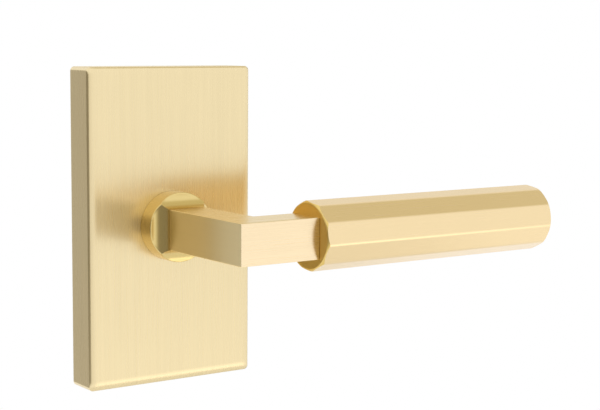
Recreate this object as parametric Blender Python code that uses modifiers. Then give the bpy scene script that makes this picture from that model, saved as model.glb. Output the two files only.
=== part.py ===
"""Room-side half of a passage lever set, built as its separate pieces.

A rectangular rosette covers a mounting plate that carries a spring cassette. The lever is a
square bar with a coved round collar and a ten-sided grip. It turns about the Y axis.

Frame, in metres: +X is the way the lever points, +Y goes into the door and +Z is up. The origin
is where the lever's turning axis meets the door face, so what stands in the room has negative Y.
"""

import math

import bmesh
import bpy
from mathutils import Matrix

MM = 0.001

# Clearances
GAP = 0.3 * MM  # between pieces that touch
RUNNING = 0.05 * MM  # radial, round a shaft

# Rosette, a shell that is open at the door
ROSETTE_WIDTH = 66.7 * MM
ROSETTE_HEIGHT = 114.3 * MM
ROSETTE_DEPTH = 12.7 * MM
ROSETTE_WALL = 2.2 * MM
ROSETTE_CORNER = 1.6 * MM
ROSETTE_EDGE = 0.7 * MM

# Lever: a square bar, bent once by a sharp mitre
BAR = 14.5 * MM
BAR_EDGE = 0.35 * MM
LEVER_Y = -62.8 * MM  # middle of the arm and of the grip
COLLAR_RADIUS = 12.6 * MM
COLLAR_RISE = 6.9 * MM  # rim above the rosette's face, at the middle of each side
COVE_RADIUS = 5.0 * MM
TENON_RADIUS = 5.0 * MM
TENON_LENGTH = 28.0 * MM

# Grip, a regular prism
GRIP_SIDES = 10
GRIP_RADIUS = 12.4 * MM  # to the corners
GRIP_START = 24.7 * MM
GRIP_LENGTH = 104.8 * MM
GRIP_RIDGE = 0.25 * MM  # rounding along the prism's corners
GRIP_END_EDGE = 0.8 * MM
GRIP_ROLL = math.radians(9.0)  # the flat that faces the room leans up by this much
GRIP_SCREW_X = 40.0 * MM

# Shank, behind the collar: round, square, round
JOURNAL_RADIUS = 11.0 * MM
DRIVE_SQUARE = 15.4 * MM
TAIL_RADIUS = 7.65 * MM
TAIL_END_Y = 11.0 * MM
GROOVE_RADIUS = 7.0 * MM

# Spindle
SPINDLE_SQUARE = 7.9 * MM
SPINDLE_FRONT_Y = -31.5 * MM
SPINDLE_BACK_Y = 45.0 * MM
SPINDLE_EDGE = 0.5 * MM
SPINDLE_SCREW_Y = -28.6 * MM

# Mounting plate
PLATE_THICKNESS = 2.5 * MM
LUG_WIDTH = 20.0 * MM
LUG_THICKNESS = 1.4 * MM
LUG_REACH = 6.0 * MM

# Spring cassette
HOUSING_RADIUS = 16.9 * MM
HOUSING_WALL = 1.5 * MM
HOUSING_FRONT_WALL = 1.4 * MM
HOUSING_BACK_Y = 4.9 * MM
EAR_REACH = 25.0 * MM
EAR_WIDTH = 9.0 * MM
EAR_THICKNESS = 1.4 * MM
EAR_SCREW_X = 21.2 * MM
HUB_RADIUS = 12.6 * MM
LUG_TOP = 14.7 * MM  # stop lug's flat top, from the axis
LUG_HALF_WIDTH = 3.4 * MM
STOP_LUG_DEPTH = 2.2 * MM
STOP_PIN_RADIUS = 1.1 * MM
STOP_PIN_CIRCLE = 14.0 * MM
LEVER_TRAVEL = math.radians(45.0)
FRONT_BUSH_WALL = 1.15 * MM
REAR_BUSH_WALL = 1.0 * MM
BUSH_FLANGE = 0.8 * MM
REAR_FLANGE_RADIUS = 10.2 * MM
COVER_THICKNESS = 1.4 * MM
WASHER_THICKNESS = 0.5 * MM
RING_RADIUS = 9.6 * MM
RING_THICKNESS = 0.8 * MM
RING_MARGIN = 0.15 * MM  # between the ring and each side of its groove
RING_MOUTH = 4.0 * MM  # half the gap in the ring

# Return spring
WIRE_RADIUS = 0.8 * MM
COIL_RADIUS = 13.8 * MM
COIL_TURNS = 3.5
COIL_START_Y = -3.3 * MM
COIL_END_Y = 3.5 * MM

# Fasteners
GRUB_RADIUS = 2.0 * MM
BOLT_RADIUS = 2.5 * MM
BOLT_HEAD_RADIUS = 4.25 * MM
BOLT_HEAD_HEIGHT = 2.5 * MM
BOLT_Z = 22.0 * MM
BOLT_END_Y = 45.0 * MM
STUD_Z = 40.0 * MM
STUD_RADIUS = 1.5 * MM
SMALL_SCREW_RADIUS = 1.5 * MM
SMALL_HEAD_RADIUS = 2.7 * MM
SMALL_HEAD_HEIGHT = 1.7 * MM
SMALL_SCREW_LENGTH = 4.3 * MM
STUD_HEAD_RADIUS = 2.7 * MM
STUD_HEAD = 0.9 * MM
STUD_LENGTH = 7.5 * MM
STUD_POINT = 2.5 * MM

# Levels along Y that several pieces share
FACE_Y = -ROSETTE_DEPTH
FACE_BACK_Y = FACE_Y + ROSETTE_WALL
COLLAR_BACK_Y = FACE_BACK_Y + GAP
COVE_START_Y = FACE_Y - COLLAR_RISE - COVE_RADIUS
BUSH_FLANGE_Y = COLLAR_BACK_Y + GAP
HOUSING_FRONT_Y = BUSH_FLANGE_Y + BUSH_FLANGE + GAP
HOUSING_INNER_Y = HOUSING_FRONT_Y + HOUSING_FRONT_WALL
JOURNAL_END_Y = HOUSING_INNER_Y + 0.5 * MM
HUB_FRONT_Y = JOURNAL_END_Y + GAP
HUB_BACK_Y = HOUSING_BACK_Y - 2 * GAP
PLATE_FRONT_Y = -PLATE_THICKNESS
EAR_BACK_Y = PLATE_FRONT_Y - GAP
EAR_FRONT_Y = EAR_BACK_Y - EAR_THICKNESS
LUG_SCREW_Y = PLATE_FRONT_Y - 0.6 * LUG_REACH
REAR_FLANGE_Y = HOUSING_BACK_Y + 2 * GAP + COVER_THICKNESS
WASHER_Y = REAR_FLANGE_Y + BUSH_FLANGE + GAP
RING_Y = WASHER_Y + WASHER_THICKNESS + 1.5 * GAP

STEPS = 48  # segments round a turned piece

SATIN_BRASS = ("satin_brass", (0.80, 0.62, 0.32), 0.32, 1.0)
ZINC_STEEL = ("zinc_plated_steel", (0.62, 0.62, 0.60), 0.38, 1.0)
BRIGHT_STEEL = ("bright_steel", (0.70, 0.70, 0.69), 0.25, 1.0)
SPRING_STEEL = ("spring_steel", (0.22, 0.22, 0.23), 0.35, 1.0)
SINTERED_STEEL = ("sintered_steel", (0.36, 0.36, 0.35), 0.55, 1.0)
BLACK_STEEL = ("black_steel", (0.05, 0.05, 0.05), 0.45, 1.0)
NYLON = ("nylon", (0.85, 0.84, 0.78), 0.5, 0.0)


def clear_scene():
    for obj in list(bpy.data.objects):
        bpy.data.objects.remove(obj)


def new_collection(name, hidden=False):
    collection = bpy.data.collections.new(name)
    collection.hide_render = hidden
    bpy.context.scene.collection.children.link(collection)
    return collection


clear_scene()
PARTS = new_collection("lever_handle_half_set")
CUTTERS = new_collection("cutters", hidden=True)


def material(kind):
    name, colour, roughness, metallic = kind
    found = bpy.data.materials.get(name)
    if found:
        return found
    made = bpy.data.materials.new(name)
    made.use_nodes = True
    shader = made.node_tree.nodes["Principled BSDF"]
    shader.inputs["Base Color"].default_value = (*colour, 1.0)
    shader.inputs["Roughness"].default_value = roughness
    shader.inputs["Metallic"].default_value = metallic
    return made


def add_object(name, data, kind=None):
    """A part when it has a material, or else a cutter."""
    obj = bpy.data.objects.new(name, data)
    if kind is None:
        CUTTERS.objects.link(obj)
        obj.hide_render = True
        obj.display_type = "WIRE"
    else:
        PARTS.objects.link(obj)
        data.materials.append(material(kind))
    return obj


def mesh_from(name, bm):
    mesh = bpy.data.meshes.new(name)
    bm.to_mesh(mesh)
    bm.free()
    return mesh


def block(name, low, high, kind=None):
    """A box between two corners."""
    bm = bmesh.new()
    bmesh.ops.create_cube(bm, size=1.0)
    for vert in bm.verts:
        for axis in range(3):
            vert.co[axis] = low[axis] if vert.co[axis] < 0 else high[axis]
    return add_object(name, mesh_from(name, bm), kind)


def turn_to(axis):
    """Turns local +Z to the named world direction."""
    return {
        "+Y": Matrix.Rotation(math.radians(-90), 4, "X"),
        "+X": Matrix.Rotation(math.radians(90), 4, "Y"),
        "+Z": Matrix.Identity(4),
        "-Z": Matrix.Rotation(math.radians(180), 4, "X"),
    }[axis]


def place(obj, spot, axis):
    obj.matrix_world = Matrix.Translation(spot) @ turn_to(axis)
    return obj


def rod(name, radius, length, spot, axis="+Y", kind=None, sides=STEPS):
    """A cylinder or prism that starts at spot and runs along axis."""
    bm = bmesh.new()
    bmesh.ops.create_cone(
        bm, cap_ends=True, segments=sides, radius1=radius, radius2=radius, depth=length
    )
    bmesh.ops.translate(bm, vec=(0, 0, length / 2), verts=bm.verts)
    obj = add_object(name, mesh_from(name, bm), kind)
    return place(obj, spot, axis)


def turned(name, outline, kind=None, spot=(0, 0, 0), axis="+Y", ring=False, steps=STEPS):
    """A turned piece. Its outline is (radius, height) from the far end down the outside."""
    bm = bmesh.new()
    verts = [bm.verts.new((radius, 0, height)) for radius, height in outline]
    for first, second in zip(verts, verts[1:]):
        bm.edges.new((first, second))
    if ring:
        bm.edges.new((verts[-1], verts[0]))
    obj = add_object(name, mesh_from(name, bm), kind)
    screw = obj.modifiers.new("Turn", "SCREW")
    screw.steps = steps
    screw.render_steps = steps
    screw.use_merge_vertices = True
    screw.merge_threshold = 0.00001
    screw.use_smooth_shade = False
    return place(obj, spot, axis)


def ring_outline(inner, outer, start, end):
    """A square-section ring's outline, outer side first."""
    return [(outer, end), (outer, start), (inner, start), (inner, end)]


def cut(obj, *cutters):
    for cutter in cutters:
        combine(obj, cutter, "DIFFERENCE")
    return obj


def combine(obj, other, operation):
    step = obj.modifiers.new(other.name, "BOOLEAN")
    step.operation = operation
    step.solver = "EXACT"
    step.object = other
    return obj


def bevel(obj, width, segments=1, angle=math.radians(40)):
    step = obj.modifiers.new("Edges", "BEVEL")
    step.width = width
    step.segments = segments
    step.limit_method = "ANGLE"
    step.angle_limit = angle
    step.use_clamp_overlap = True
    return obj


def make_rosette():
    half_w = ROSETTE_WIDTH / 2
    half_h = ROSETTE_HEIGHT / 2
    rosette = block("rosette", (-half_w, FACE_Y, -half_h), (half_w, 0, half_h), SATIN_BRASS)
    round_upright_corners(rosette, ROSETTE_CORNER)
    soften_front_edge(rosette)
    hollow = block(
        "rosette_hollow",
        (-half_w + ROSETTE_WALL, FACE_BACK_Y, -half_h + ROSETTE_WALL),
        (half_w - ROSETTE_WALL, 5 * MM, half_h - ROSETTE_WALL),
    )
    hole = rod("rosette_hole", COLLAR_RADIUS + GAP, 10 * MM, (0, FACE_Y - 3 * MM, 0))
    screw_hole = rod(
        "rosette_screw_hole",
        GRUB_RADIUS + GAP,
        8 * MM,
        (0, LUG_SCREW_Y, -half_h - 3 * MM),
        "+Z",
        sides=24,
    )
    return cut(rosette, hollow, hole, screw_hole)


def round_upright_corners(obj, radius, segments=4):
    """Rounds the four edges that run along Y."""
    bm = bmesh.new()
    bm.from_mesh(obj.data)
    edges = [e for e in bm.edges if abs(e.verts[0].co.y - e.verts[1].co.y) > radius]
    bmesh.ops.bevel(
        bm, geom=edges, offset=radius, segments=segments, affect="EDGES", profile=0.5
    )
    bm.to_mesh(obj.data)
    bm.free()


def soften_front_edge(obj, segments=2):
    """Rounds the edge round the front face."""
    bm = bmesh.new()
    bm.from_mesh(obj.data)
    front = min(v.co.y for v in bm.verts)
    edges = [e for e in bm.edges if all(abs(v.co.y - front) < 1e-6 for v in e.verts)]
    bmesh.ops.bevel(
        bm, geom=edges, offset=ROSETTE_EDGE, segments=segments, affect="EDGES", profile=0.5
    )
    bm.to_mesh(obj.data)
    bm.free()


def make_mounting_plate():
    half_w = ROSETTE_WIDTH / 2 - ROSETTE_WALL - 1.2 * GAP
    half_h = ROSETTE_HEIGHT / 2 - ROSETTE_WALL - 1.2 * GAP
    plate = block(
        "mounting_plate", (-half_w, PLATE_FRONT_Y, -half_h), (half_w, 0, half_h), ZINC_STEEL
    )
    round_upright_corners(plate, ROSETTE_CORNER, segments=3)
    half_lug = LUG_WIDTH / 2
    front = PLATE_FRONT_Y - LUG_REACH
    inside = PLATE_FRONT_Y / 2
    top = block(
        "lug_top", (-half_lug, front, half_h - LUG_THICKNESS), (half_lug, inside, half_h - 0.1 * MM)
    )
    bottom = block(
        "lug_bottom",
        (-half_lug, front, -half_h + LUG_THICKNESS),
        (half_lug, inside, -half_h + 2 * LUG_THICKNESS),
    )
    combine(plate, top, "UNION")
    combine(plate, bottom, "UNION")
    cut(plate, rod("plate_bore", HOUSING_RADIUS + 1.3 * GAP, 8 * MM, (0, -5 * MM, 0)))
    for side in (-1, 1):
        cut(
            plate,
            plate_hole(f"bolt_hole_{side}", BOLT_RADIUS, (0, side * BOLT_Z)),
            plate_hole(f"stud_hole_{side}", STUD_RADIUS, (0, side * STUD_Z)),
            plate_hole(f"ear_hole_{side}", SMALL_SCREW_RADIUS, (side * EAR_SCREW_X, 0)),
        )
    return plate


def plate_hole(name, radius, spot):
    x, z = spot
    return rod(name, radius + GAP, 12 * MM, (x, -8 * MM, z), sides=24)


def make_spring_housing():
    inner = HOUSING_RADIUS - HOUSING_WALL
    housing = turned(
        "spring_housing",
        [
            (HOUSING_RADIUS, HOUSING_BACK_Y),
            (HOUSING_RADIUS, HOUSING_FRONT_Y),
            (JOURNAL_RADIUS + FRONT_BUSH_WALL + RUNNING + GAP, HOUSING_FRONT_Y),
            (JOURNAL_RADIUS + FRONT_BUSH_WALL + RUNNING + GAP, HOUSING_INNER_Y),
            (inner, HOUSING_INNER_Y),
            (inner, HOUSING_BACK_Y),
        ],
        ZINC_STEEL,
        ring=True,
    )
    for side in (-1, 1):
        near = side * (HOUSING_RADIUS - 0.7 * HOUSING_WALL)
        far = side * EAR_REACH
        ear = block(
            f"ear_{side}",
            (min(near, far), EAR_FRONT_Y, -EAR_WIDTH / 2),
            (max(near, far), EAR_BACK_Y, EAR_WIDTH / 2),
        )
        round_upright_corners(ear, 0.8 * MM, segments=2)
        combine(housing, ear, "UNION")
    for side in (-1, 1):
        cut(
            housing,
            plate_hole(f"housing_ear_hole_{side}", SMALL_SCREW_RADIUS, (side * EAR_SCREW_X, 0)),
        )
    for number, (x, z) in enumerate(stop_pin_spots()):
        start = (x, HOUSING_FRONT_Y - MM, z)
        cut(housing, rod(f"pin_hole_{number}", STOP_PIN_RADIUS + RUNNING, 4 * MM, start, sides=24))
    leg = WIRE_RADIUS + GAP
    notch = block(
        "spring_leg_notch",
        (-leg, COIL_END_Y - leg, inner - 1 * MM),
        (leg, HOUSING_BACK_Y + 2 * MM, HOUSING_RADIUS + 1 * MM),
    )
    return cut(housing, notch)


def stop_pin_spots():
    """(x, z) of the pin that the lug rests on, and of the one that ends its travel."""
    across = LUG_HALF_WIDTH + STOP_PIN_RADIUS + GAP
    up = math.sqrt(STOP_PIN_CIRCLE**2 - across**2)
    cos, sin = math.cos(LEVER_TRAVEL), math.sin(LEVER_TRAVEL)
    return [(-across, up), (across * cos + up * sin, -across * sin + up * cos)]


def make_stop_pins():
    for name, (x, z) in zip(("stop_pin_rest", "stop_pin_end"), stop_pin_spots()):
        start = HOUSING_FRONT_Y + 0.2 * MM
        end = HUB_FRONT_Y + STOP_LUG_DEPTH - 0.2 * MM
        rod(name, STOP_PIN_RADIUS, end - start, (x, start, z), "+Y", BRIGHT_STEEL, sides=24)


def make_back_cover():
    seat = TAIL_RADIUS + RUNNING + REAR_BUSH_WALL + GAP
    front = HOUSING_BACK_Y - GAP
    back = HOUSING_BACK_Y + GAP
    return turned(
        "housing_back_cover",
        [
            (HOUSING_RADIUS, back + COVER_THICKNESS),
            (HOUSING_RADIUS, back),
            (HOUSING_RADIUS - HOUSING_WALL - GAP, back),
            (HOUSING_RADIUS - HOUSING_WALL - GAP, front),
            (seat, front),
            (seat, back + COVER_THICKNESS),
        ],
        ZINC_STEEL,
        ring=True,
    )


def make_bushes():
    inner = JOURNAL_RADIUS + RUNNING
    outer = inner + FRONT_BUSH_WALL
    turned(
        "front_bush",
        [
            (outer, JOURNAL_END_Y),
            (outer, BUSH_FLANGE_Y + BUSH_FLANGE),
            (COLLAR_RADIUS - 0.1 * MM, BUSH_FLANGE_Y + BUSH_FLANGE),
            (COLLAR_RADIUS - 0.1 * MM, BUSH_FLANGE_Y),
            (inner, BUSH_FLANGE_Y),
            (inner, JOURNAL_END_Y),
        ],
        NYLON,
        ring=True,
    )
    inner = TAIL_RADIUS + RUNNING
    outer = inner + REAR_BUSH_WALL
    turned(
        "rear_bush",
        [
            (REAR_FLANGE_RADIUS, REAR_FLANGE_Y + BUSH_FLANGE),
            (REAR_FLANGE_RADIUS, REAR_FLANGE_Y),
            (outer, REAR_FLANGE_Y),
            (outer, HOUSING_BACK_Y),
            (inner, HOUSING_BACK_Y),
            (inner, REAR_FLANGE_Y + BUSH_FLANGE),
        ],
        NYLON,
        ring=True,
    )


def make_tail_rings():
    end = WASHER_Y + WASHER_THICKNESS
    outline = ring_outline(TAIL_RADIUS + GAP, REAR_FLANGE_RADIUS, WASHER_Y, end)
    turned("wave_washer", outline, SPRING_STEEL, ring=True)
    end = RING_Y + RING_THICKNESS
    outline = ring_outline(GROOVE_RADIUS + RUNNING, RING_RADIUS, RING_Y, end)
    clip = turned("retaining_ring", outline, BLACK_STEEL, ring=True)
    mouth = block(
        "ring_mouth",
        (-RING_MOUTH, RING_Y - MM, -2 * RING_RADIUS),
        (RING_MOUTH, end + MM, -RING_MOUTH),
    )
    return cut(clip, mouth)


def make_drive_hub():
    length = HUB_BACK_Y - HUB_FRONT_Y
    hub = rod("drive_hub", HUB_RADIUS, length, (0, HUB_FRONT_Y, 0), "+Y", SINTERED_STEEL)
    lug = block(
        "stop_lug",
        (-LUG_HALF_WIDTH, HUB_FRONT_Y + 0.1 * MM, HUB_RADIUS - 2 * MM),
        (LUG_HALF_WIDTH, HUB_FRONT_Y + STOP_LUG_DEPTH, LUG_TOP),
    )
    combine(hub, lug, "UNION")
    half = DRIVE_SQUARE / 2 + RUNNING
    square = block("hub_square", (-half, -20 * MM, -half), (half, 20 * MM, half))
    leg_hole = rod(
        "hub_leg_hole",
        WIRE_RADIUS + GAP,
        4 * MM,
        (0, COIL_START_Y, -HUB_RADIUS - 1 * MM),
        "+Z",
        sides=16,
    )
    return cut(hub, square, leg_hole)


def make_return_spring():
    """A leg in the hub, the coil, and a leg in the housing's notch."""
    per_turn = 24
    points = [(0, COIL_START_Y, -(HUB_RADIUS - 2.4 * MM)), (0, COIL_START_Y, -COIL_RADIUS)]
    count = round(per_turn * COIL_TURNS)
    for step in range(1, count):
        share = step / count
        angle = -math.pi / 2 + share * COIL_TURNS * 2 * math.pi
        y = COIL_START_Y + share * (COIL_END_Y - COIL_START_Y)
        points.append((COIL_RADIUS * math.cos(angle), y, COIL_RADIUS * math.sin(angle)))
    points.append((0, COIL_END_Y, COIL_RADIUS))
    points.append((0, COIL_END_Y, HOUSING_RADIUS - 0.3 * MM))
    curve = bpy.data.curves.new("return_spring", "CURVE")
    curve.dimensions = "3D"
    curve.bevel_depth = WIRE_RADIUS
    curve.bevel_resolution = 2
    curve.use_fill_caps = True
    spline = curve.splines.new("POLY")
    spline.points.add(len(points) - 1)
    for point, spot in zip(spline.points, points):
        point.co = (*spot, 1.0)
    return add_object("return_spring", curve, SPRING_STEEL)


def make_lever_stem():
    half = BAR / 2
    front = LEVER_Y - half
    arm_end = GRIP_START - GAP
    stem = block("lever_stem", (-half, front, -half), (half, COVE_START_Y, half), SATIN_BRASS)
    arm = block("arm", (0, front, -half), (arm_end, front + BAR, half))
    tenon = rod("tenon", TENON_RADIUS, TENON_LENGTH + MM, (arm_end - MM, LEVER_Y, 0), "+X")
    combine(stem, arm, "UNION")
    bevel(stem, BAR_EDGE)
    combine(stem, tenon, "UNION")
    combine(stem, make_collar(), "UNION")
    combine(stem, make_shank(), "UNION")
    half_bore = SPINDLE_SQUARE / 2 + RUNNING
    bore = block(
        "spindle_bore",
        (-half_bore, SPINDLE_FRONT_Y - GAP, -half_bore),
        (half_bore, TAIL_END_Y + MM, half_bore),
    )
    screw_hole = rod(
        "stem_screw_hole",
        GRUB_RADIUS + GAP,
        half,
        (0, SPINDLE_SCREW_Y, -half - MM),
        "+Z",
        sides=24,
    )
    return cut(stem, bore, screw_hole)


def make_collar():
    """A round collar whose four sides sweep up to the square neck in coves."""
    start = COVE_START_Y - 0.02 * MM
    collar = rod("collar", COLLAR_RADIUS, COLLAR_BACK_Y - start, (0, start, 0), sides=96)
    reach = BAR / 2 + COVE_RADIUS - 0.04 * MM
    for number, (x, z) in enumerate(((-reach, 0), (reach, 0), (0, -reach), (0, reach))):
        long = 40 * MM
        axis = "+Z" if x else "+X"
        spot = (x, COVE_START_Y, -long / 2) if x else (-long / 2, COVE_START_Y, z)
        cut(collar, rod(f"cove_{number}", COVE_RADIUS, long, spot, axis, sides=64))
    return collar


def make_shank():
    """Front journal, drive square and grooved tail."""
    start = COLLAR_BACK_Y - 2 * MM
    shank = rod("shank", JOURNAL_RADIUS, JOURNAL_END_Y - start, (0, start, 0))
    half = DRIVE_SQUARE / 2
    square = block(
        "drive_square", (-half, start + 0.5 * MM, -half), (half, HOUSING_BACK_Y - GAP, half)
    )
    tail = turned(
        "tail",
        [
            (0, TAIL_END_Y),
            (TAIL_RADIUS, TAIL_END_Y),
            (TAIL_RADIUS, RING_Y + RING_THICKNESS + RING_MARGIN),
            (GROOVE_RADIUS, RING_Y + RING_THICKNESS + RING_MARGIN),
            (GROOVE_RADIUS, RING_Y - RING_MARGIN),
            (TAIL_RADIUS, RING_Y - RING_MARGIN),
            (TAIL_RADIUS, 0),
            (0, 0),
        ],
    )
    combine(shank, square, "UNION")
    return combine(shank, tail, "UNION")


def make_grip():
    """A prism with a flat towards the room, rolled a little about its own axis."""
    grip = rod(
        "grip",
        GRIP_RADIUS,
        GRIP_LENGTH,
        (GRIP_START, LEVER_Y, 0),
        "+X",
        SATIN_BRASS,
        sides=GRIP_SIDES,
    )
    half_side = math.pi / GRIP_SIDES
    grip.data.transform(Matrix.Rotation(half_side - GRIP_ROLL, 4, "Z"))
    soften_grip(grip.data)
    bore = rod(
        "grip_bore",
        TENON_RADIUS + RUNNING,
        TENON_LENGTH + 2 * MM,
        (GRIP_START - MM, LEVER_Y, 0),
        "+X",
    )
    hole = rod(
        "grip_screw_hole",
        GRUB_RADIUS + GAP,
        GRIP_RADIUS,
        (GRIP_SCREW_X, LEVER_Y + 2 * MM, 0),
        "+Y",
        sides=24,
    )
    return cut(grip, bore, hole)


def soften_grip(mesh):
    """Breaks the long ridges a little and the edges round both ends more."""
    bm = bmesh.new()
    bm.from_mesh(mesh)
    ridges = [e for e in bm.edges if abs(e.verts[0].co.z - e.verts[1].co.z) > MM]
    bmesh.ops.bevel(bm, geom=ridges, offset=GRIP_RIDGE, segments=1, affect="EDGES")
    ends = [e for e in bm.edges if abs(e.verts[0].co.z - e.verts[1].co.z) < 1e-6]
    bmesh.ops.bevel(bm, geom=ends, offset=GRIP_END_EDGE, segments=2, affect="EDGES", profile=0.5)
    bm.to_mesh(mesh)
    bm.free()


def grub_screw(name, start, length, axis):
    """A set screw that starts at its point and ends in a six-sided socket."""
    point = 0.6 * MM
    screw = turned(
        name,
        [(0, length), (GRUB_RADIUS, length), (GRUB_RADIUS, point), (GRUB_RADIUS - point, 0), (0, 0)],
        BLACK_STEEL,
        start,
        axis,
        steps=24,
    )
    deep = min(1.6 * MM, length / 2)
    socket = rod(f"{name}_socket", 1.15 * MM, 3 * MM, (0, 0, 0), "+Z", sides=6)
    socket.matrix_world = screw.matrix_world @ Matrix.Translation((0, 0, length - deep))
    return cut(screw, socket)


def make_grub_screws():
    top_of_lug = -ROSETTE_HEIGHT / 2 + ROSETTE_WALL + 1.2 * GAP + LUG_THICKNESS
    tip = top_of_lug - GAP
    outer = -ROSETTE_HEIGHT / 2 + 0.3 * MM
    grub_screw("rosette_set_screw", (0, LUG_SCREW_Y, tip), tip - outer, "-Z")
    tip = -SPINDLE_SQUARE / 2 - GAP
    outer = -BAR / 2 + 0.2 * MM
    grub_screw("spindle_set_screw", (0, SPINDLE_SCREW_Y, tip), tip - outer, "-Z")
    tip = LEVER_Y + TENON_RADIUS + GAP
    outer = LEVER_Y + GRIP_RADIUS * math.cos(math.pi / GRIP_SIDES) - 0.4 * MM
    grub_screw("grip_set_screw", (GRIP_SCREW_X, tip, 0), outer - tip, "+Y")


def make_spindle():
    half = SPINDLE_SQUARE / 2
    spindle = block(
        "spindle", (-half, SPINDLE_FRONT_Y, -half), (half, SPINDLE_BACK_Y, half), BRIGHT_STEEL
    )
    return bevel(spindle, SPINDLE_EDGE)


def headed_screw(name, spot, radius, head_radius, head_height, length, kind):
    """A pan-headed screw. Its head's underside is at spot, and its head faces the room."""
    x, under, z = spot
    screw = turned(
        name,
        [
            (0, length),
            (radius - 0.4 * MM, length),
            (radius, length - 0.5 * MM),
            (radius, 0),
            (head_radius, 0),
            (head_radius, -0.6 * head_height),
            (0.72 * head_radius, -head_height),
            (0, -head_height),
        ],
        kind,
        (x, under, z),
        "+Y",
        steps=32,
    )
    deep = 0.55 * head_height
    socket = rod(f"{name}_socket", 0.4 * head_radius, 5 * MM, (0, 0, 0), "+Z", sides=6)
    depth = -head_height + deep - 5 * MM
    socket.matrix_world = screw.matrix_world @ Matrix.Translation((0, 0, depth))
    return cut(screw, socket)


def make_fixings():
    for name, side in (("upper", 1), ("lower", -1)):
        headed_screw(
            f"through_bolt_{name}",
            (0, EAR_BACK_Y, side * BOLT_Z),
            BOLT_RADIUS,
            BOLT_HEAD_RADIUS,
            BOLT_HEAD_HEIGHT,
            BOLT_END_Y - EAR_BACK_Y,
            ZINC_STEEL,
        )
        make_door_stud(f"door_stud_{name}", side * STUD_Z)
    for name, side in (("left", -1), ("right", 1)):
        headed_screw(
            f"housing_screw_{name}",
            (side * EAR_SCREW_X, EAR_FRONT_Y - GAP, 0),
            SMALL_SCREW_RADIUS,
            SMALL_HEAD_RADIUS,
            SMALL_HEAD_HEIGHT,
            SMALL_SCREW_LENGTH,
            ZINC_STEEL,
        )


def make_door_stud(name, z):
    """A headed stud whose point bites into the door."""
    return turned(
        name,
        [
            (0, STUD_LENGTH),
            (STUD_RADIUS, STUD_LENGTH - STUD_POINT),
            (STUD_RADIUS, 0),
            (STUD_HEAD_RADIUS, 0),
            (STUD_HEAD_RADIUS, -STUD_HEAD),
            (0, -STUD_HEAD),
        ],
        ZINC_STEEL,
        (0, EAR_BACK_Y, z),
        "+Y",
        steps=24,
    )


def shade_round_pieces():
    """Smooth round sides, sharp edges."""
    for obj in PARTS.objects:
        if obj.type == "MESH":
            obj.data.shade_smooth()
            obj.data.set_sharp_from_angle(angle=math.radians(30))


def main():
    make_rosette()
    make_mounting_plate()
    make_spring_housing()
    make_back_cover()
    make_stop_pins()
    make_bushes()
    make_return_spring()
    make_drive_hub()
    make_lever_stem()
    make_grip()
    make_spindle()
    make_tail_rings()
    make_grub_screws()
    make_fixings()
    shade_round_pieces()


main()
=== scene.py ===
"""Looks of the lever half set: brushed brass outside, plated and plain steel pieces behind it.

The shown rosette, lever, grip, spring and fixing bolts are built again here at full detail, on the
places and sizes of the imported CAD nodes. The other CAD nodes are shown with their own materials.
"""
import math

import bmesh
import bpy
from mathutils import Matrix, Vector


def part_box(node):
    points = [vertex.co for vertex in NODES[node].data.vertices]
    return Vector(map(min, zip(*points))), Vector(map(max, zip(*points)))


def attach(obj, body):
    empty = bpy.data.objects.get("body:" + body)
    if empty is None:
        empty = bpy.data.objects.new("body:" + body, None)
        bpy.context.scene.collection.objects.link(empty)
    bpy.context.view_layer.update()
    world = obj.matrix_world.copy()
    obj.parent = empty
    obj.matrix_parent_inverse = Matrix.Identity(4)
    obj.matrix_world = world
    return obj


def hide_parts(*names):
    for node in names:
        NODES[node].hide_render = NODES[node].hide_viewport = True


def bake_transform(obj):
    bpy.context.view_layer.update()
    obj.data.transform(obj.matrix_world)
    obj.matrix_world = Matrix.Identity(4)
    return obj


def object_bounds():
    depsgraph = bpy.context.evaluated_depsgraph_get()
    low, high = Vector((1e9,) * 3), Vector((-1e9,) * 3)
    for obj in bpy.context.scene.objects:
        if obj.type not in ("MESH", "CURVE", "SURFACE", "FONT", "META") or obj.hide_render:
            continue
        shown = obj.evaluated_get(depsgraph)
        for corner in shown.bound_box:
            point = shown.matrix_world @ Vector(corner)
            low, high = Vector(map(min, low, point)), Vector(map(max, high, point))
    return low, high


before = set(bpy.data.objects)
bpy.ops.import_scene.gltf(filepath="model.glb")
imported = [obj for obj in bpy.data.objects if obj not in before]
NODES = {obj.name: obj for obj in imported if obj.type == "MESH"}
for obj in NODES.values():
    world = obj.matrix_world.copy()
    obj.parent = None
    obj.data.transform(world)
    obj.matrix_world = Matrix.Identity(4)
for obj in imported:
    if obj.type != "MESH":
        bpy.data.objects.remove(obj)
CAD_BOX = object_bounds()

MM = 0.001

# Camera, in the part's frame
CAMERA_SPOT = Vector((-0.2657, -0.4680, 0.0678))
CAMERA_YAW = math.radians(35.32)
CAMERA_PITCH = math.radians(-6.53)
CAMERA_ROLL = math.radians(0.40)
CAMERA_LENS = 87.9  # mm, on a 36 mm sensor

# Rosette
ROSETTE_WALL = 2.2 * MM
ROSETTE_CORNER = 1.6 * MM
ROSETTE_EDGE = 0.7 * MM
BORDER_WIDTH = 3.8 * MM  # of its face, softened by polishing
BORDER_SLOPE = 0.34  # of the softened border, at the edge
SCREW_HOLE_RADIUS = 2.3 * MM
FACE_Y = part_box("rosette")[0].y
LEVEL_NORMAL = 0.72  # a face that leans this far up or down is part of the top or bottom

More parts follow.
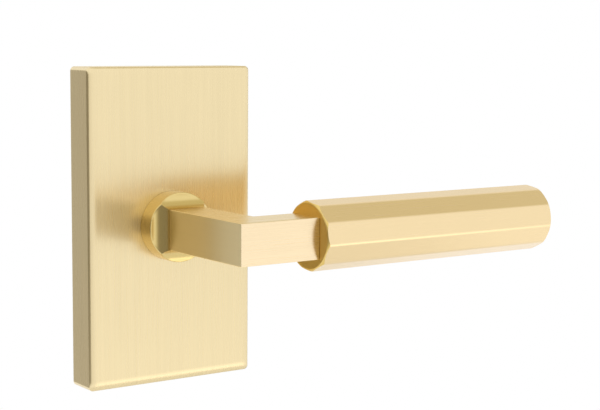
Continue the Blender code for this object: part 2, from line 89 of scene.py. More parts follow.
# Lever
BAR = 14.5 * MM
BAR_EDGE = 0.3 * MM
LEVER_Y = -62.8 * MM
ARM_END = 24.66 * MM
COLLAR_RADIUS = 12.6 * MM
COLLAR_GAP = 0.03 * MM  # shown round the collar
COVE_RADIUS = 5.0 * MM
COVE_START_Y = -24.6 * MM
COVE_BITE = 0.04 * MM  # the coves start this far inside the neck's faces
COLLAR_BACK_Y = -10.2 * MM
RIM_EDGE = 0.35 * MM
TENON_RADIUS = 5.0 * MM
TENON_LENGTH = 28.0 * MM
GRIP_SIDES = 10
GRIP_RADIUS = 12.4 * MM
GRIP_ROLL = math.radians(9.0)
GRIP_RIDGE = 0.7 * MM
GRIP_END_ROUND = 1.4 * MM  # turned on both ends
GRIP_SCREW_X = 40.0 * MM
TENON_GAP = 0.05 * MM
TURNED_ROOM = 0.03 * MM  # between the grip's corners and the bar that trims its ends
END_NORMAL = 0.3  # a face that leans this far along the grip is part of its end
COVE_MARGIN = 0.02 * MM  # faces past the coves' start by this are turned
TENON_MARGIN = 0.05 * MM  # and so are faces past the arm's end by this

# Shank, behind the collar
JOURNAL_RADIUS = 11.0 * MM
JOURNAL_END_Y = -6.9 * MM
DRIVE_SQUARE = 15.4 * MM
DRIVE_END_Y = 4.6 * MM
TAIL_RADIUS = 7.65 * MM
TAIL_END_Y = 11.0 * MM
SPINDLE_BORE = 8.0 * MM
SPINDLE_FRONT_Y = -31.5 * MM
SPINDLE_SCREW_Y = -28.6 * MM
GROOVE_RADIUS = 7.0 * MM
GROOVE_MARGIN = 0.15 * MM  # on both sides of the retaining ring
BORE_ROOM = 0.3 * MM  # past the spindle's front end

# Return spring, wound round Y: a leg in the hub, the coil and a leg in the housing
WIRE_RADIUS = 0.8 * MM
COIL_RADIUS = 13.8 * MM
COIL_TURNS = 3.5
COIL_START_Y = -3.3 * MM
COIL_END_Y = 3.5 * MM
HUB_LEG_Z = -10.2 * MM
LEG_BEND = 0.6 * MM  # the hub's leg meets the coil this far inside its line
MERGE = 0.001 * MM

# Through-bolts, M5
BOLT_RADIUS = 2.5 * MM
BOLT_PITCH = 0.8 * MM
THREAD_DEPTH = 0.45 * MM
THREAD_START_Y = 12.0 * MM
BOLT_HEAD_HEIGHT = 2.5 * MM
BOLT_SOCKET = 0.4  # of the head's radius
BOLT_SOCKET_CUT = 2.4 * MM  # starts 1 mm outside the head
BOLT_HEAD_ROUND = 0.5 * MM
BOLT_POINT = 0.75  # of the bolt's radius, at its tip
THREAD_STEPS = 6  # rings of points to a pitch

# Brushing: width and length of a streak, and what the streaks change
FINE_STREAK = (0.28 * MM, 30 * MM)
BROAD_STREAK = (1.3 * MM, 60 * MM)
CLOUD_SCALE = 70.0  # per metre
FINE_TONE = 0.09
BROAD_TONE = 0.08
CLOUD_TONE = 0.03
FINE_ROUGHNESS = 0.08
SCRATCH_STRENGTH = 0.15
SCRATCH_DEPTH = 0.01 * MM
ROUND_RADIUS = 12 * MM  # where streaks that run round Y have their stated length

SAME = 1e-6  # metres: coordinates closer than this are the same


# ---------------------------------------------------------------- nodes

class Graph:
    """Adds nodes to a tree. An input may be a socket, a number or a tuple."""

    def __init__(self, tree):
        self.tree = tree

    def node(self, kind, inputs=(), **settings):
        made = self.tree.nodes.new(kind)
        for key, value in settings.items():
            setattr(made, key, value)
        for key, value in dict(inputs).items():
            self.feed(made.inputs[key], value)
        return made

    def feed(self, socket, value):
        if isinstance(value, bpy.types.NodeSocket):
            self.tree.links.new(value, socket)
        else:
            socket.default_value = value

    def math(self, operation, *values):
        made = self.node("ShaderNodeMath", enumerate(values), operation=operation)
        return made.outputs[0]

    def vector(self, operation, *values):
        made = self.node("ShaderNodeVectorMath", enumerate(values), operation=operation)
        return made.outputs["Value" if operation in ("DOT_PRODUCT", "LENGTH") else "Vector"]

    def ramp(self, value, start, end, low=0.0, high=1.0, smooth=True):
        made = self.node(
            "ShaderNodeMapRange",
            {"Value": value, "From Min": start, "From Max": end, "To Min": low, "To Max": high},
            interpolation_type="SMOOTHSTEP" if smooth else "LINEAR",
        )
        return made.outputs[0]

    def mix(self, share, first, second, blend="MIX"):
        made = self.node("ShaderNodeMix", data_type="RGBA", blend_type=blend)
        self.feed(made.inputs[0], share)
        self.feed(made.inputs[6], first)
        self.feed(made.inputs[7], second)
        return made.outputs[2]

    def noise(self, vector, scale, detail=2.0, roughness=0.5):
        made = self.node(
            "ShaderNodeTexNoise",
            {"Vector": vector, "Scale": scale, "Detail": detail, "Roughness": roughness},
        )
        return made.outputs["Fac"]

    def scaled(self, vector, share):
        made = self.node("ShaderNodeVectorMath", {0: vector, "Scale": share}, operation="SCALE")
        return made.outputs["Vector"]

    def shift(self, noise, amount, base):
        """The base, moved by an amount as a noise goes above and below its middle."""
        return self.math("MULTIPLY_ADD", self.math("SUBTRACT", noise, 0.5), amount, base)


def colour(red, green, blue):
    return (red, green, blue, 1.0)


def new_material(name):
    made = bpy.data.materials.new(name)
    made.use_nodes = True
    graph = Graph(made.node_tree)
    shader = made.node_tree.nodes["Principled BSDF"]
    spot = graph.node("ShaderNodeTexCoord").outputs["Object"]
    return made, graph, shader, spot


def stretched(graph, spot, along, width, length):
    """Coordinates in which a streak of that width and length is one unit each way."""
    if along == "round":
        parts = graph.node("ShaderNodeSeparateXYZ", {0: spot}).outputs
        flat = graph.node("ShaderNodeCombineXYZ", {0: parts[0], 2: parts[2]}).outputs[0]
        radius = graph.vector("LENGTH", flat)
        turn = graph.vector("NORMALIZE", flat)
        turn = graph.vector("MULTIPLY", turn, (ROUND_RADIUS / length,) * 3)
        depth = graph.math("DIVIDE", graph.math("ADD", radius, parts[1]), width)
        inward = graph.node("ShaderNodeCombineXYZ", {1: depth}).outputs[0]
        return graph.vector("ADD", turn, inward)
    scale = [1 / width] * 3
    scale["XYZ".index(along)] = 1 / length
    return graph.vector("MULTIPLY", spot, tuple(scale))


def across(graph, along):
    """The direction across the scratches, on the surface: gloss spreads that way."""
    if along == "round":
        scratch = graph.node("ShaderNodeTangent", direction_type="RADIAL", axis="Y").outputs[0]
    else:
        direction = [0.0] * 3
        direction["XYZ".index(along)] = 1.0
        scratch = graph.node(
            "ShaderNodeVectorTransform",
            {0: tuple(direction)},
            vector_type="VECTOR",
            convert_from="OBJECT",
            convert_to="WORLD",
        ).outputs[0]
    normal = graph.node("ShaderNodeNewGeometry").outputs["Normal"]
    return graph.vector("NORMALIZE", graph.vector("CROSS_PRODUCT", scratch, normal))


BRASS = (0.80, 0.63, 0.34)
# Lit and shaded copies of the one brass, for the lever's faces: painted light on the arm's front
# and back and on the neck's sides, painted shade on the bar's top and bottom and on the collar
ARM_PAINTED_LIGHT_BRASS = (0.825, 0.635, 0.375)
TOP_AND_BOTTOM_PAINTED_SHADE_BRASS = (0.80, 0.60, 0.28)
COLLAR_PAINTED_SHADE_BRASS = (0.72, 0.53, 0.20)
NECK_PAINTED_LIGHT_BRASS = (0.98, 0.80, 0.45)
GRIP_BRASS = (0.83, 0.62, 0.325)
# The grip's ends, darker than its sides: painted shade
GRIP_END_PAINTED_SHADE_BRASS = (0.78, 0.54, 0.16)


def soft_border(graph, spot):
    """The normal, leaning outward near the borders of the rosette's face."""
    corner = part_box("rosette")[1]
    parts = graph.node("ShaderNodeSeparateXYZ", {0: spot}).outputs
    leans = []
    for place, half in ((parts[0], corner.x), (parts[2], corner.z)):
        reach = graph.math("ABSOLUTE", place)
        lean = graph.ramp(reach, half - BORDER_WIDTH, half, 0.0, BORDER_SLOPE)
        leans.append(graph.math("MULTIPLY", lean, graph.math("SIGN", place)))
    lean = graph.node("ShaderNodeCombineXYZ", {0: leans[0], 2: leans[1]}).outputs[0]
    normal = graph.node("ShaderNodeNewGeometry").outputs["Normal"]
    facing = graph.node("ShaderNodeSeparateXYZ", {0: normal}).outputs[1]
    lean = graph.scaled(lean, graph.math("ABSOLUTE", facing))
    return graph.vector("NORMALIZE", graph.vector("ADD", normal, lean))


def brushed_brass(name, along, base=BRASS, roughness=0.3, anisotropy=0.7, marks=1.0, border=False):
    """Lacquered brass brushed along one axis, or round Y."""
    made, graph, shader, spot = new_material(name)
    fine = graph.noise(stretched(graph, spot, along, *FINE_STREAK), 1.0, 3.0, 0.6)
    broad = graph.noise(stretched(graph, spot, along, *BROAD_STREAK), 1.0, 2.0)
    cloud = graph.noise(spot, CLOUD_SCALE, 2.0)
    tone = graph.shift(fine, FINE_TONE * marks, 1.0)
    tone = graph.shift(broad, BROAD_TONE * marks, tone)
    tone = graph.shift(cloud, CLOUD_TONE, tone)
    graph.feed(shader.inputs["Base Color"], graph.scaled(base, tone))
    rough = graph.shift(fine, FINE_ROUGHNESS * marks, roughness)
    graph.feed(shader.inputs["Roughness"], rough)
    shader.inputs["Metallic"].default_value = 1.0
    shader.inputs["Anisotropic"].default_value = anisotropy
    graph.feed(shader.inputs["Tangent"], across(graph, along))
    bump = graph.node(
        "ShaderNodeBump",
        {"Height": fine, "Strength": SCRATCH_STRENGTH * marks, "Distance": SCRATCH_DEPTH},
    )
    if border:
        graph.feed(bump.inputs["Normal"], soft_border(graph, spot))
    graph.feed(shader.inputs["Normal"], bump.outputs[0])
    return made


# ---------------------------------------------------------------- meshes

def new_object(name, mesh):
    made = bpy.data.objects.new(name, mesh)
    bpy.context.scene.collection.objects.link(made)
    return made


def from_bmesh(name, bm):
    bmesh.ops.recalc_face_normals(bm, faces=bm.faces)
    mesh = bpy.data.meshes.new(name)
    bm.to_mesh(mesh)
    bm.free()
    return new_object(name, mesh)


def box_bmesh(low, high):
    bm = bmesh.new()
    bmesh.ops.create_cube(bm, size=1.0)
    for vert in bm.verts:
        for axis in range(3):
            vert.co[axis] = low[axis] if vert.co[axis] < 0 else high[axis]
    return bm


def block(name, low, high):
    return from_bmesh(name, box_bmesh(low, high))


TURNS = {
    "+Y": Matrix.Rotation(math.radians(-90), 4, "X"),
    "+X": Matrix.Rotation(math.radians(90), 4, "Y"),
    "+Z": Matrix.Identity(4),
}


def prism(radius, length, sides):
    """A prism along Z, with its middle on the origin."""
    bm = bmesh.new()
    bmesh.ops.create_cone(
        bm, cap_ends=True, segments=sides, radius1=radius, radius2=radius, depth=length
    )
    return bm


def rod(name, radius, length, spot, axis="+Y", sides=96):
    """A bar that starts at a spot and runs along an axis."""
    bm = prism(radius, length, sides)
    bmesh.ops.translate(bm, vec=(0, 0, length / 2), verts=bm.verts)
    bmesh.ops.transform(bm, matrix=Matrix.Translation(spot) @ TURNS[axis], verts=bm.verts)
    return from_bmesh(name, bm)


def evaluated_mesh(obj):
    bpy.context.view_layer.update()
    graph = bpy.context.evaluated_depsgraph_get()
    return bpy.data.meshes.new_from_object(obj.evaluated_get(graph))


def apply_modifiers(obj):
    mesh = evaluated_mesh(obj)
    obj.modifiers.clear()
    obj.data = mesh


def joined(first, others, operation):
    """Applies one boolean for each other object, and removes the others."""
    for other in others:
        step = first.modifiers.new("Join", "BOOLEAN")
        step.operation = operation
        step.solver = "EXACT"
        step.object = other
    apply_modifiers(first)
    for other in others:
        bpy.data.objects.remove(other)


def finish_mesh(obj, body, node, materials, choose=None, sharp=25.0):
    """Shades the piece, gives it its materials and lets it stand for its CAD node."""
    mesh = obj.data
    mesh.materials.clear()
    for material in materials:
        mesh.materials.append(material)
    for face in mesh.polygons:
        face.material_index = choose(face) if choose else 0
    mesh.shade_smooth()
    mesh.set_sharp_from_angle(angle=math.radians(sharp))
    step = obj.modifiers.new("Normals", "WEIGHTED_NORMAL")
    step.keep_sharp = True
    step.weight = 100
    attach(obj, body)
    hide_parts(node)


def bevel_where(bm, test, offset, segments):
    """Bevels the edges whose two ends pass the test."""
    edges = [edge for edge in bm.edges if test(edge.verts[0].co, edge.verts[1].co)]
    bmesh.ops.bevel(
        bm, geom=edges, offset=offset, segments=segments, affect="EDGES", profile=0.5
    )


def make_rosette():
    """The cover plate: a shell with a hollow back, the collar's hole and the screw's hole."""
    low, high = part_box("rosette")
    bm = box_bmesh(low, high)
    bevel_where(bm, lambda a, b: abs(a.y - b.y) > MM, ROSETTE_CORNER, 8)
    bevel_where(bm, lambda a, b: a.y - low.y < SAME and b.y - low.y < SAME, ROSETTE_EDGE, 4)
    rosette = from_bmesh("rosette_shell", bm)
    wall = Vector((ROSETTE_WALL, 0, ROSETTE_WALL))
    inner_low = low + wall + Vector((0, ROSETTE_WALL, 0))
    inner_high = high - wall + Vector((0, 5 * MM, 0))
    hollow = block("hollow", inner_low, inner_high)
    hole = rod("hole", COLLAR_RADIUS + COLLAR_GAP, 20 * MM, (0, low.y - 5 * MM, 0), sides=160)
    screw_low, screw_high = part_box("rosette_set_screw")
    screw_y = (screw_low.y + screw_high.y) / 2
    screw_hole = rod(
        "screw_hole", SCREW_HOLE_RADIUS, 8 * MM, (0, screw_y, low.z - 3 * MM), "+Z", sides=40
    )
    joined(rosette, [hollow, hole, screw_hole], "DIFFERENCE")
    upright_grain = brushed_brass("rosette_brass", "Z", BRASS, 0.28, 0.75, border=True)
    level_grain = brushed_brass("rosette_end_brass", "X", BRASS, 0.28, 0.75)
    finish_mesh(
        rosette,
        "door_side",
        "rosette",
        [upright_grain, level_grain],
        lambda face: int(abs(face.normal.z) > LEVEL_NORMAL),
    )


def make_bar():
    """The neck and the arm as one L, with its edges just broken. The neck runs into the collar."""
    half = BAR / 2
    front = LEVER_Y - half
    inside = LEVER_Y + half
    root = COVE_START_Y + 8 * MM
    outline = [
        (-half, root), (-half, front), (ARM_END, front),
        (ARM_END, inside), (half, inside), (half, root),
    ]
    bm = bmesh.new()
    bottom = bm.faces.new([bm.verts.new((x, y, -half)) for x, y in outline])
    grown = bmesh.ops.extrude_face_region(bm, geom=[bottom])["geom"]
    verts = [item for item in grown if isinstance(item, bmesh.types.BMVert)]
    bmesh.ops.translate(bm, vec=(0, 0, BAR), verts=verts)
    bevel_where(bm, lambda a, b: min(a.y, b.y) < root - MM, BAR_EDGE, 3)
    return from_bmesh("lever_bar", bm)


def cove_point(angle, turn):
    """A point on a cove: its angle from the neck's face, on the half-plane turned from +X."""
    reach = BAR / 2 - COVE_BITE + COVE_RADIUS
    x = reach - COVE_RADIUS * math.cos(angle)
    return Vector((x, COVE_START_Y + COVE_RADIUS * math.sin(angle), x * math.tan(turn)))


def cove_profile(turn, steps=22):
    """One side's points from the neck over the rim to the collar's back."""
    reach = BAR / 2 - COVE_BITE + COVE_RADIUS
    across_rim = (reach - COLLAR_RADIUS * math.cos(turn)) / COVE_RADIUS
    end = math.acos(max(0.0, min(1.0, across_rim)))
    rim = cove_point(end, turn)
    rim.x = max(rim.x, COLLAR_RADIUS * math.cos(turn))
    rim.z = rim.x * math.tan(turn)
    short = end - RIM_EDGE / COVE_RADIUS
    points = [cove_point(short * step / steps, turn) for step in range(steps + 1)]
    below = rim + Vector((0, RIM_EDGE, 0))
    start = points[-1]
    for step in range(1, 5):
        t = step / 4
        points.append((1 - t) ** 2 * start + 2 * t * (1 - t) * rim + t * t * below)
    points.append(Vector((below.x, FACE_Y, below.z)))
    points.append(Vector((below.x, COLLAR_BACK_Y, below.z)))
    return points


def make_collar(per_side=28):
    """A closed collar: four coves that meet on the diagonals, a rim and a round band."""
    bm = bmesh.new()
    rings = []
    for side in range(4):
        spin = Matrix.Rotation(-side * math.pi / 2, 4, "Y")
        for step in range(per_side):
            turn = math.radians(-45 + 90 * step / per_side)
            rings.append([bm.verts.new(spin @ point) for point in cove_profile(turn)])
    for first, second in zip(rings, rings[1:] + rings[:1]):
        for index in range(len(first) - 1):
            bm.faces.new((first[index], second[index], second[index + 1], first[index + 1]))
    bm.faces.new([ring[0] for ring in rings])
    bm.faces.new([ring[-1] for ring in rings])
    return from_bmesh("collar", bm)


def make_shank():
    """The turned and squared lengths behind the collar, with the retaining ring's groove."""
    half = DRIVE_SQUARE / 2
    start = COLLAR_BACK_Y - 2 * MM
    journal = rod("journal", JOURNAL_RADIUS, JOURNAL_END_Y - start, (0, start, 0))
    square = block("square", (-half, start + 0.5 * MM, -half), (half, DRIVE_END_Y, half))
    ring_low, ring_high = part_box("retaining_ring")
    tail = rod("tail", TAIL_RADIUS, ring_low.y - GROOVE_MARGIN, (0, 0, 0))
    waist = rod("waist", GROOVE_RADIUS, TAIL_END_Y - MM, (0, 0, 0))
    tip_start = ring_high.y + GROOVE_MARGIN
    tip = rod("tip", TAIL_RADIUS, TAIL_END_Y - tip_start, (0, tip_start, 0))
    return [journal, square, tail, waist, tip]


def stem_face_kind(face):
    """0 on the bar's front and back, 1 on the neck's sides, 2 on top and bottom, 3 if turned."""
    centre = face.center
    if centre.y > COVE_START_Y + COVE_MARGIN or centre.x > ARM_END + TENON_MARGIN:
        return 3
    kinds = (1, 0, 2)
    return kinds[max(range(3), key=lambda axis: abs(face.normal[axis]))]


def make_stem():
    stem = make_bar()
    tenon = rod("tenon", TENON_RADIUS, TENON_LENGTH + MM, (ARM_END - MM, LEVER_Y, 0), "+X")
    joined(stem, [make_collar(), *make_shank(), tenon], "UNION")
    half = SPINDLE_BORE / 2
    bore_front = SPINDLE_FRONT_Y - BORE_ROOM
    bore = block("bore", (-half, bore_front, -half), (half, TAIL_END_Y + MM, half))
    hole = rod(
        "hole", SCREW_HOLE_RADIUS, BAR / 2, (0, SPINDLE_SCREW_Y, -BAR / 2 - MM), "+Z", sides=40
    )
    joined(stem, [bore, hole], "DIFFERENCE")
    stem.name = "lever_body"
    # Painted light and shade: each kind of face gets the brass in its own base colour, lighter on
    # the arm's front and back and the neck's sides, darker on the top, bottom and collar
    level = brushed_brass("arm_painted_light_brass", "X", ARM_PAINTED_LIGHT_BRASS, 0.28, 0.75)
    upright = brushed_brass("neck_side_painted_light_brass", "Y", NECK_PAINTED_LIGHT_BRASS, 0.30, 0.7, marks=0.5)
    top = brushed_brass("bar_top_bottom_painted_shade_brass", "X", TOP_AND_BOTTOM_PAINTED_SHADE_BRASS, 0.27, 0.6, marks=0.6)
    round_brass = brushed_brass("collar_painted_shade_brass", "round", COLLAR_PAINTED_SHADE_BRASS, 0.23, 0.2, marks=0.4)
    finish_mesh(
        stem,
        "lever",
        "lever_stem",
        [level, upright, top, round_brass],
        stem_face_kind,
        sharp=18.0,
    )


def turned_ends(start, end):
    """A round bar with rounded ends, which trims the grip's corners at both ends."""
    bm = prism(GRIP_RADIUS + TURNED_ROOM, end - start, 160)
    spot = Matrix.Translation(((start + end) / 2, LEVER_Y, 0))
    bmesh.ops.transform(bm, matrix=spot @ TURNS["+X"], verts=bm.verts)
    bevel_where(bm, lambda a, b: abs(a.x - b.x) < SAME, GRIP_END_ROUND, 6)
    return from_bmesh("turned_ends", bm)


def make_grip():
    low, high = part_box("grip")
    bm = prism(GRIP_RADIUS, high.x - low.x, GRIP_SIDES)
    roll = Matrix.Rotation(math.pi / GRIP_SIDES - GRIP_ROLL, 4, "Z")
    spot = Matrix.Translation(((low.x + high.x) / 2, LEVER_Y, 0))
    bmesh.ops.transform(bm, matrix=spot @ TURNS["+X"] @ roll, verts=bm.verts)
    bevel_where(bm, lambda a, b: abs(a.x - b.x) > MM, GRIP_RIDGE, 3)
    grip = from_bmesh("grip_bar", bm)
    bore = rod(
        "bore", TENON_RADIUS + TENON_GAP, TENON_LENGTH + 2 * MM, (low.x - MM, LEVER_Y, 0), "+X"
    )
    hole = rod(
        "hole", SCREW_HOLE_RADIUS, GRIP_RADIUS, (GRIP_SCREW_X, LEVER_Y + 2 * MM, 0), sides=40
    )
    joined(grip, [turned_ends(low.x, high.x)], "INTERSECT")
    joined(grip, [bore, hole], "DIFFERENCE")
    satin = brushed_brass("grip_brass", "X", GRIP_BRASS, 0.27, 0.3, marks=0.3)
    # The ends get a darker base colour than the sides: painted shade
    end = brushed_brass("grip_end_painted_shade_brass", "Z", GRIP_END_PAINTED_SHADE_BRASS, 0.32, 0.0, marks=0.3)
    finish_mesh(
        grip,
        "lever",
        "grip",
        [satin, end],
        lambda face: int(abs(face.normal.x) > END_NORMAL),
        sharp=12.0,
    )


# ---------------------------------------------------------------- studio

def make_camera():
    data = bpy.data.cameras.new("camera")
    data.lens = CAMERA_LENS
    data.sensor_width = 36.0
    data.clip_start = 0.01
    camera = bpy.data.objects.new("camera", data)
    bpy.context.scene.collection.objects.link(camera)
    yaw = Matrix.Rotation(-CAMERA_YAW, 4, "Z")
    pitch = Matrix.Rotation(math.pi / 2 + CAMERA_PITCH, 4, "X")
    roll = Matrix.Rotation(CAMERA_ROLL, 4, "Z")
    camera.matrix_world = Matrix.Translation(CAMERA_SPOT) @ (yaw @ pitch) @ roll
    bpy.context.scene.camera = camera


# The studio: white all round, but for a dark low band on the left and three soft panels
BRIGHT = (1.11, 1.18, 1.33)
DIM = (1.0, 0.98, 0.90)  # tint of the dark band's light
DIM_LEVELS = (0.45, 1.0)  # of the band, where its tint is all DIM and all BRIGHT
DARK_SIDE = (-0.99, -0.05, 0.0)  # middle of the dark band
DARK_LEVEL = 0.28
DARK_TURN = (45.0, 88.0)  # degrees round from its middle, where it starts and ends to fade
DARK_TOP = (0.16, 0.26)  # height of a direction where the band fades
DARK_BOTTOM = (-0.36, -0.26)
PANELS = (  # direction, inner and outer angle of its edge, light
    ((0.52, -0.12, 0.84), 14, 34, (0.77, 0.76, 0.64)),
    ((0.52, 0.80, 0.25), 15, 40, (0.95, 0.96, 0.94)),
    ((0.52, -0.68, -0.52), 8, 20, (1.75, 1.80, 1.95)),
)


def dark_band(graph, direction):
    """1 away from the band, and DARK_LEVEL in it."""
    flat = graph.vector("NORMALIZE", graph.vector("MULTIPLY", direction, (1, 1, 0)))
    near = graph.vector("DOT_PRODUCT", flat, tuple(Vector(DARK_SIDE).normalized()))
    start, end = (math.cos(math.radians(angle)) for angle in DARK_TURN)
    round_share = graph.ramp(near, end, start)
    height = graph.node("ShaderNodeSeparateXYZ", {0: direction}).outputs[2]
    below_top = graph.ramp(height, *DARK_TOP, 1.0, 0.0)
    above_bottom = graph.ramp(height, *DARK_BOTTOM)
    share = graph.math("MULTIPLY", round_share, graph.math("MULTIPLY", below_top, above_bottom))
    return graph.math("MULTIPLY_ADD", share, DARK_LEVEL - 1.0, 1.0)


def make_world():
    world = bpy.data.worlds.new("studio")
    world.use_nodes = True
    graph = Graph(world.node_tree)
    direction = graph.node("ShaderNodeTexCoord").outputs["Generated"]
    band = dark_band(graph, direction)
    share = graph.ramp(band, *DIM_LEVELS, smooth=False)
    light = graph.scaled(graph.mix(share, colour(*DIM), colour(*BRIGHT)), band)
    for axis, inner, outer, panel in PANELS:
        near = graph.vector("DOT_PRODUCT", direction, tuple(Vector(axis).normalized()))
        inner, outer = math.cos(math.radians(inner)), math.cos(math.radians(outer))
        light = graph.mix(graph.ramp(near, outer, inner), light, colour(*panel))
    seen = graph.node("ShaderNodeLightPath").outputs["Is Camera Ray"]
    shade = graph.mix(seen, light, colour(1, 1, 1))
    background = world.node_tree.nodes["Background"]
    graph.feed(background.inputs["Color"], shade)
    bpy.context.scene.world = world
    bpy.context.scene.view_settings.view_transform = "Standard"


FLOOR_DROP = 0.30
FLOOR_HALF = 0.42


def make_floor():
    level = CAD_BOX[0].z - FLOOR_DROP
    bm = bmesh.new()
    bmesh.ops.create_grid(bm, x_segments=8, y_segments=8, size=FLOOR_HALF)
    bmesh.ops.translate(bm, vec=(0, 0, level), verts=bm.verts)
    floor = from_bmesh("floor", bm)
    made, graph, shader, spot = new_material("floor_white")
    grain = graph.noise(spot, 40.0)
    tint = graph.mix(grain, colour(0.90, 0.90, 0.90), colour(0.94, 0.94, 0.94))
    graph.feed(shader.inputs["Base Color"], tint)
    shader.inputs["Roughness"].default_value = 0.9
    shader.inputs["Emission Color"].default_value = colour(1, 1, 1)
    shader.inputs["Emission Strength"].default_value = 0.03
    floor.data.materials.append(made)


# ---------------------------------------------------------------- pieces behind the rosette

# Each slot varies between two colours. The grain is in grains per metre
FINISHES = {
    "zinc_plated_steel": dict(
        low=(0.61, 0.62, 0.62), high=(0.66, 0.66, 0.64),
        metallic=1.0, roughness=0.34, grain=260.0, depth=0.004 * MM,
        nodes=("mounting_plate", "spring_housing", "housing_back_cover", "housing_screw_left",
               "housing_screw_right", "through_bolt_upper", "through_bolt_lower",
               "door_stud_upper", "door_stud_lower"),
    ),
    "bright_steel": dict(
        low=(0.66, 0.66, 0.66), high=(0.74, 0.74, 0.73),
        metallic=1.0, roughness=0.24, grain=1800.0, depth=0.002 * MM,
        nodes=("spindle", "stop_pin_rest", "stop_pin_end"),
    ),
    "spring_steel": dict(
        low=(0.17, 0.17, 0.19), high=(0.27, 0.26, 0.25),
        metallic=1.0, roughness=0.36, grain=1200.0, depth=0.003 * MM,
        nodes=("return_spring", "wave_washer"),
    ),
    "sintered_steel": dict(
        low=(0.27, 0.27, 0.26), high=(0.42, 0.42, 0.40),
        metallic=0.9, roughness=0.58, grain=2600.0, depth=0.02 * MM,
        nodes=("drive_hub",),
    ),
    "black_steel": dict(
        low=(0.035, 0.035, 0.038), high=(0.065, 0.06, 0.06),
        metallic=0.8, roughness=0.42, grain=1500.0, depth=0.004 * MM,
        nodes=("rosette_set_screw", "grip_set_screw", "spindle_set_screw", "retaining_ring"),
    ),
    "nylon": dict(
        low=(0.80, 0.79, 0.72), high=(0.88, 0.87, 0.82),
        metallic=0.0, roughness=0.46, grain=700.0, depth=0.006 * MM,
        nodes=("front_bush", "rear_bush"),
    ),
    "satin_brass": dict(
        low=(0.74, 0.57, 0.29), high=(0.84, 0.67, 0.38),
        metallic=1.0, roughness=0.30, grain=900.0, depth=0.003 * MM,
        nodes=("rosette", "lever_stem", "grip"),
    ),
}
EDGED = ("mounting_plate", "spring_housing", "spindle", "drive_hub")
EDGE_BREAK = 0.15 * MM
EDGE_ANGLE = math.radians(50)
PATCH_SCALE = 130.0  # patches of colour, per metre
PATCH_RANGE = (0.35, 0.65)  # of the noise, from all of one colour to all of the other
SPECK_RANGE = (0.3, 0.7)
SPECK_SHADE = 0.9
GRAIN_ROUGHNESS = 0.16
GRAIN_STRENGTH = 0.6


def grained(name, finish):
    """A finish that varies in colour, gloss and height, each by its own noise."""
    made, graph, shader, spot = new_material(name)
    cloud = graph.noise(spot, PATCH_SCALE, 3.0)
    fine = graph.noise(spot, finish["grain"], 4.0, 0.6)
    share = graph.ramp(cloud, *PATCH_RANGE)
    tint = graph.mix(share, colour(*finish["low"]), colour(*finish["high"]))
    shade = colour(SPECK_SHADE, SPECK_SHADE, SPECK_SHADE)
    speck = graph.mix(graph.ramp(fine, *SPECK_RANGE), shade, colour(1, 1, 1))
    graph.feed(shader.inputs["Base Color"], graph.mix(1.0, tint, speck, "MULTIPLY"))
    spread = graph.shift(fine, GRAIN_ROUGHNESS, finish["roughness"])
    graph.feed(shader.inputs["Roughness"], spread)
    shader.inputs["Metallic"].default_value = finish["metallic"]
    bump = graph.node(
        "ShaderNodeBump",
        {"Height": fine, "Strength": GRAIN_STRENGTH, "Distance": finish["depth"]},
    )
    graph.feed(shader.inputs["Normal"], bump.outputs[0])
    return made


def finish_cad_nodes():
    """Gives the CAD nodes their materials, and returns the materials by slot."""
    made = {}
    for slot, finish in FINISHES.items():
        made[slot] = grained(slot + "_finish", finish)
        for name in finish["nodes"]:
            materials = NODES[name].data.materials
            materials.clear()
            materials.append(made[slot])
    for name in EDGED:
        step = NODES[name].modifiers.new("Edge", "BEVEL")
        step.width = EDGE_BREAK
        step.segments = 2
        step.limit_method = "ANGLE"
        step.angle_limit = EDGE_ANGLE
    return made


def make_return_spring(material, per_turn=72):
    """The torsion spring. It bends from the housing's leg to the hub's leg."""
    leg_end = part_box("return_spring")[1].z
    points = [(0, COIL_START_Y, HUB_LEG_Z), (0, COIL_START_Y, -COIL_RADIUS + LEG_BEND)]
    count = round(per_turn * COIL_TURNS)
    for step in range(count + 1):
        share = step / count
        angle = -math.pi / 2 + share * COIL_TURNS * 2 * math.pi
        y = COIL_START_Y + share * (COIL_END_Y - COIL_START_Y)
        points.append((COIL_RADIUS * math.cos(angle), y, COIL_RADIUS * math.sin(angle)))
    points.append((0, COIL_END_Y, leg_end))
    curve = bpy.data.curves.new("spring_line", "CURVE")
    curve.dimensions = "3D"
    curve.bevel_depth = WIRE_RADIUS
    curve.bevel_resolution = 4
    curve.use_fill_caps = True
    spline = curve.splines.new("POLY")
    spline.points.add(len(points) - 1)
    for point, spot in zip(spline.points, points):
        point.co = (*spot, 1.0)
    line = new_object("spring_line", curve)
    mesh = evaluated_mesh(line)
    bpy.data.objects.remove(line)
    bm = bmesh.new()
    bm.from_mesh(mesh)
    bmesh.ops.remove_doubles(bm, verts=bm.verts, dist=MERGE)
    spring = from_bmesh("torsion_spring", bm)
    spring.data.materials.append(material)
    spring.data.shade_smooth()
    spring.data.set_sharp_from_angle(angle=math.radians(40))
    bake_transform(spring)
    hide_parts("return_spring")


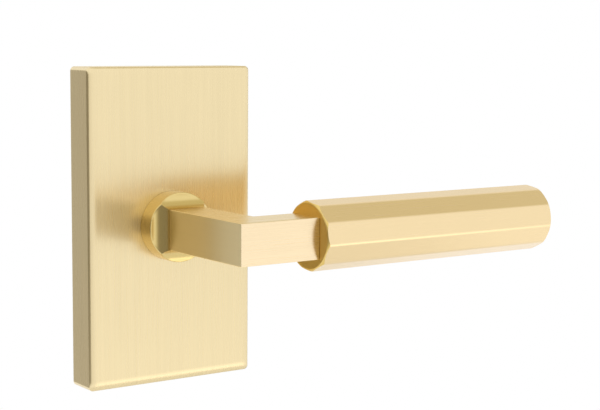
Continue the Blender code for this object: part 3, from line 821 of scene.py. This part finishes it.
def thread_radius(y, turn, end_y):
    """The bolt's surface at a place along it and an angle round it, in turns."""
    if y < THREAD_START_Y:
        return BOLT_RADIUS
    wave = abs(2 * ((y / BOLT_PITCH - turn) % 1.0) - 1)
    fade = min(1.0, (y - THREAD_START_Y) / BOLT_PITCH)
    point = min(1.0, BOLT_POINT + (1 - BOLT_POINT) * (end_y - y) / MM)
    return (BOLT_RADIUS - THREAD_DEPTH * wave * fade) * point


def make_thread(name, start_y, end_y, centre_z, around=32):
    """The bolt without its head: plain as far as THREAD_START_Y, then threaded."""
    heights = [start_y, THREAD_START_Y]
    while heights[-1] < end_y:
        heights.append(min(end_y, heights[-1] + BOLT_PITCH / THREAD_STEPS))
    bm = bmesh.new()
    rings = []
    for y in heights:
        ring = []
        for step in range(around):
            angle = 2 * math.pi * step / around
            radius = thread_radius(y, step / around, end_y)
            spot = (radius * math.cos(angle), y, centre_z + radius * math.sin(angle))
            ring.append(bm.verts.new(spot))
        rings.append(ring)
    for first, second in zip(rings, rings[1:]):
        for step in range(around):
            after = (step + 1) % around
            bm.faces.new((first[step], second[step], second[after], first[after]))
    bm.faces.new(rings[0])
    bm.faces.new(rings[-1])
    return from_bmesh(name, bm)


def make_bolt(node, material):
    low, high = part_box(node)
    centre_z = (low.z + high.z) / 2
    start_y = low.y + BOLT_HEAD_HEIGHT - MM
    bolt = make_thread(node + "_threaded", start_y, high.y, centre_z)
    head_radius = (high.z - low.z) / 2
    head = rod("head", head_radius, BOLT_HEAD_HEIGHT, (0, low.y, centre_z), sides=64)
    rounding = head.modifiers.new("Edge", "BEVEL")
    rounding.width = BOLT_HEAD_ROUND
    rounding.segments = 3
    rounding.limit_method = "ANGLE"
    apply_modifiers(head)
    socket_radius = BOLT_SOCKET * head_radius
    socket = rod("socket", socket_radius, BOLT_SOCKET_CUT, (0, low.y - MM, centre_z), sides=6)
    joined(bolt, [head], "UNION")
    joined(bolt, [socket], "DIFFERENCE")
    finish_mesh(bolt, "door_side", node, [material], sharp=28.0)


make_camera()
make_world()
make_floor()
finishes = finish_cad_nodes()
make_return_spring(finishes["spring_steel"])
make_bolt("through_bolt_upper", finishes["zinc_plated_steel"])
make_bolt("through_bolt_lower", finishes["zinc_plated_steel"])
make_rosette()
make_stem()
make_grip()
